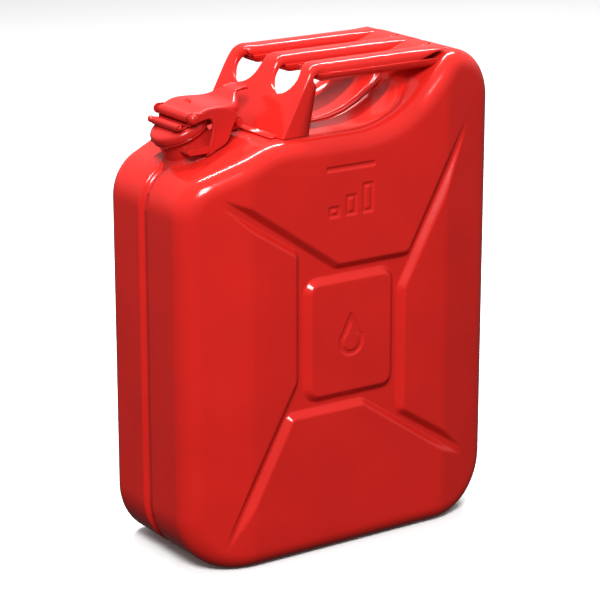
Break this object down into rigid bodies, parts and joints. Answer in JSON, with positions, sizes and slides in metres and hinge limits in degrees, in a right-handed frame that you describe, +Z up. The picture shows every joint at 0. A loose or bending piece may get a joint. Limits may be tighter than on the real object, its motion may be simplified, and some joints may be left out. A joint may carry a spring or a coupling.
{
  "type": "metal fuel can",
  "caption": "Pressed-steel fuel can with welded half shells, triple-bar carrying handle and a hinged cam-lever cap.",
  "frame": {"origin": "centre of the base, on the surface the can stands on", "axes": "+Z up; +X along the width from the filler neck to the rear hump of the handle; Y through the thickness, with the weld seam on y = 0"},
  "size_m": [0.35, 0.165, 0.4697],
  "materials": {
    "body_paint": "gloss baked enamel",
    "closure_paint": "gloss enamel on folded sheet parts",
    "gasket_rubber": "matte",
    "bare_steel": "satin"
  },
  "bodies": {
    "can": {"left_shell": "body_paint", "right_shell": "body_paint", "seam_weld": "body_paint", "filler_neck": "closure_paint", "neck_weld": "body_paint", "breather_tube": "bare_steel", "handle_front_bracket": "body_paint", "handle_bar_left": "body_paint", "handle_bar_middle": "body_paint", "handle_bar_right": "body_paint", "handle_rear_plate": "body_paint", "neck_bracket": "closure_paint", "hinge_pin": "closure_paint"},
    "cap": {"cap_shell": "closure_paint", "cap_gasket": "gasket_rubber", "gasket_retainer": "bare_steel", "cap_yoke": "closure_paint", "cap_rivet_left": "closure_paint", "cap_rivet_right": "closure_paint", "lever_pin": "closure_paint"},
    "lever": {"cam_lever": "closure_paint"},
    "lock": {"locking_pin": "closure_paint"}
  },
  "joints": [
    {"name": "cap_hinge", "type": "hinge", "parent": "can", "child": "cap", "pos_m": [-0.083, 0, 0.414], "axis": [0, 1, 0], "range_deg": [0, 65]},
    {"name": "lever_pivot", "type": "hinge", "parent": "cap", "child": "lever", "pos_m": [-0.13813, 0, 0.42547], "axis": [0, -1, 0], "range_deg": [0, 130]},
    {"name": "lock_slide", "type": "slide", "parent": "cap", "child": "lock", "axis": [0, 1, 0], "range_m": [0, 0.06]}
  ],
  "couplings": [
    {"joint": "lever_pivot", "follows": "cap_hinge", "ratio": 2}
  ]
}
